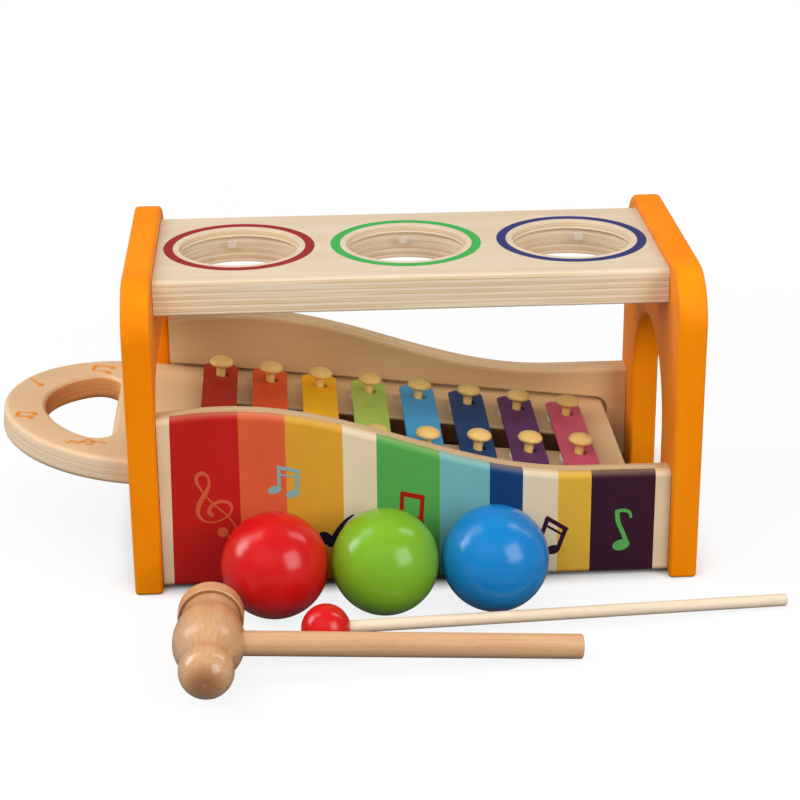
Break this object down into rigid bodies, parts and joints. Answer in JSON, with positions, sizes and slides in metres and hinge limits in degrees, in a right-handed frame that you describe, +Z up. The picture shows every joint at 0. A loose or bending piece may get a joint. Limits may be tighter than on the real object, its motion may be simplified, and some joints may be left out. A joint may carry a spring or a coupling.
{
  "type": "pounding xylophone bench",
  "caption": "Wooden pounding bench with ball holes in its top and a slide-out xylophone tray of coloured metal keys, with its balls, hammer and beater.",
  "frame": {"origin": "the middle of the set's footprint, on the floor", "axes": "+X along the bench from the tray's handle to the ball exit, +Y from front to back, +Z up"},
  "size_m": [0.3466, 0.2584, 0.1416],
  "materials": {
    "board_ply": "clear-lacquered birch ply, ply lines on the sawn edges, a painted ring round each hole",
    "clear_plastic": "clear soft plastic strip",
    "orange_paint": "satin orange paint over ply",
    "striped_ply": "painted upright stripes and music signs on the front, bare lacquered ply elsewhere",
    "wall_ply": "clear-lacquered ply",
    "dowel_wood": "bare dowel",
    "tray_ply": "clear-lacquered ply, ply lines on the sawn edges, orange music signs on the handle",
    "key_red": "gloss enamel on metal",
    "key_coral": "gloss enamel on metal",
    "key_amber": "gloss enamel on metal",
    "key_green": "gloss enamel on metal",
    "key_sky": "gloss enamel on metal",
    "key_navy": "gloss enamel on metal",
    "key_purple": "gloss enamel on metal",
    "key_pink": "gloss enamel on metal",
    "peg_plastic": "moulded pale yellow plastic",
    "white_felt": "white felt",
    "ball_red": "gloss paint on turned wood",
    "ball_green": "gloss paint on turned wood",
    "ball_blue": "gloss paint on turned wood",
    "hammer_beech": "lacquered turned beech",
    "handle_beech": "lacquered dowel",
    "beater_red": "gloss paint on turned wood",
    "beater_wood": "sanded pale dowel"
  },
  "bodies": {
    "bench": {"bench_top": "board_ply", "grip_ring_left": "clear_plastic", "grip_ring_centre": "clear_plastic", "grip_ring_right": "clear_plastic", "left_end_panel": "orange_paint", "right_end_panel": "orange_paint", "front_wall": "striped_ply", "back_wall": "wall_ply", "dowel_left_front": "dowel_wood", "dowel_right_front": "dowel_wood", "dowel_left_back": "dowel_wood", "dowel_right_back": "dowel_wood"},
    "tray": {"xylophone_tray": "tray_ply", "peg_far_1": "peg_plastic", "peg_near_1": "peg_plastic", "peg_far_2": "peg_plastic", "peg_near_2": "peg_plastic", "peg_far_3": "peg_plastic", "peg_near_3": "peg_plastic", "peg_far_4": "peg_plastic", "peg_near_4": "peg_plastic", "peg_far_5": "peg_plastic", "peg_near_5": "peg_plastic", "peg_far_6": "peg_plastic", "peg_near_6": "peg_plastic", "peg_far_7": "peg_plastic", "peg_near_7": "peg_plastic", "peg_far_8": "peg_plastic", "peg_near_8": "peg_plastic", "washer_far_1": "white_felt", "washer_near_1": "white_felt", "washer_far_2": "white_felt", "washer_near_2": "white_felt", "washer_far_3": "white_felt", "washer_near_3": "white_felt", "washer_far_4": "white_felt", "washer_near_4": "white_felt", "washer_far_5": "white_felt", "washer_near_5": "white_felt", "washer_far_6": "white_felt", "washer_near_6": "white_felt", "washer_far_7": "white_felt", "washer_near_7": "white_felt", "washer_far_8": "white_felt", "washer_near_8": "white_felt"},
    "key_1": {"key_1": "key_red"},
    "key_2": {"key_2": "key_coral"},
    "key_3": {"key_3": "key_amber"},
    "key_4": {"key_4": "key_green"},
    "key_5": {"key_5": "key_sky"},
    "key_6": {"key_6": "key_navy"},
    "key_7": {"key_7": "key_purple"},
    "key_8": {"key_8": "key_pink"},
    "red_ball": {"red_ball": "ball_red"},
    "green_ball": {"green_ball": "ball_green"},
    "blue_ball": {"blue_ball": "ball_blue"},
    "hammer": {"hammer_head": "hammer_beech", "hammer_handle": "handle_beech"},
    "beater": {"beater_head": "beater_red", "beater_stick": "beater_wood"}
  },
  "joints": [
    {"name": "tray_slide", "type": "slide", "parent": "bench", "child": "tray", "axis": [-0.9933, 0, 0.116], "range_m": [0, 0.2]},
    {"name": "key_1_lift", "type": "slide", "parent": "tray", "child": "key_1", "axis": [0.116, 0, 0.9933], "range_m": [0, 0.003]},
    {"name": "key_2_lift", "type": "slide", "parent": "tray", "child": "key_2", "axis": [0.116, 0, 0.9933], "range_m": [0, 0.003]},
    {"name": "key_3_lift", "type": "slide", "parent": "tray", "child": "key_3", "axis": [0.116, 0, 0.9933], "range_m": [0, 0.003]},
    {"name": "key_4_lift", "type": "slide", "parent": "tray", "child": "key_4", "axis": [0.116, 0, 0.9933], "range_m": [0, 0.003]},
    {"name": "key_5_lift", "type": "slide", "parent": "tray", "child": "key_5", "axis": [0.116, 0, 0.9933], "range_m": [0, 0.003]},
    {"name": "key_6_lift", "type": "slide", "parent": "tray", "child": "key_6", "axis": [0.116, 0, 0.9933], "range_m": [0, 0.003]},
    {"name": "key_7_lift", "type": "slide", "parent": "tray", "child": "key_7", "axis": [0.116, 0, 0.9933], "range_m": [0, 0.003]},
    {"name": "key_8_lift", "type": "slide", "parent": "tray", "child": "key_8", "axis": [0.116, 0, 0.9933], "range_m": [0, 0.003]},
    {"name": "red_ball_lift", "type": "slide", "parent": "bench", "child": "red_ball", "axis": [0, 0, 1], "range_m": [0, 0.15]},
    {"name": "green_ball_lift", "type": "slide", "parent": "bench", "child": "green_ball", "axis": [0, 0, 1], "range_m": [0, 0.15]},
    {"name": "blue_ball_lift", "type": "slide", "parent": "bench", "child": "blue_ball", "axis": [0, 0, 1], "range_m": [0, 0.15]},
    {"name": "hammer_lift", "type": "slide", "parent": "bench", "child": "hammer", "axis": [0, -0.1045, 0.9945], "range_m": [0, 0.15]},
    {"name": "beater_lift", "type": "slide", "parent": "bench", "child": "beater", "axis": [0, -0.1045, 0.9945], "range_m": [0, 0.15]}
  ]
}
